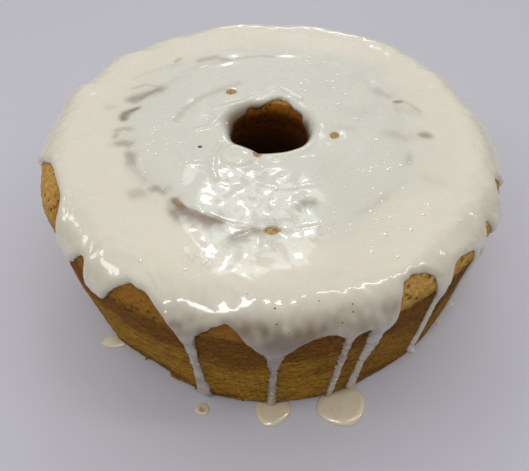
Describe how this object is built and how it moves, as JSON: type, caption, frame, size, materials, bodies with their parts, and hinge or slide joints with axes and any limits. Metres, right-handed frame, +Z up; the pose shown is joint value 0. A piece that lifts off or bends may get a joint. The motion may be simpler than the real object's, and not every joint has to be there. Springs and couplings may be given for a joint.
{
  "type": "pound cake",
  "caption": "Ring-shaped pound cake baked in a tube pan, whole, with a glossy white poured icing over the top that runs down its golden side in drips and pools at its foot.",
  "frame": {"origin": "on the surface that the cake stands on, in the middle of its footprint, below the hole", "axes": "+Z up, -Y towards the front with the two large puddles, +X to the right seen from the front"},
  "size_m": [0.2392, 0.243, 0.0927],
  "materials": {
    "golden_crust": "baked, dry and finely pored",
    "white_icing": "wet-looking poured sugar icing"
  },
  "bodies": {
    "root": {"cake": "golden_crust", "icing": "white_icing", "puddle_front": "white_icing", "puddle_right": "white_icing", "puddle_left": "white_icing", "puddle_drop": "white_icing"}
  },
  "joints": []
}
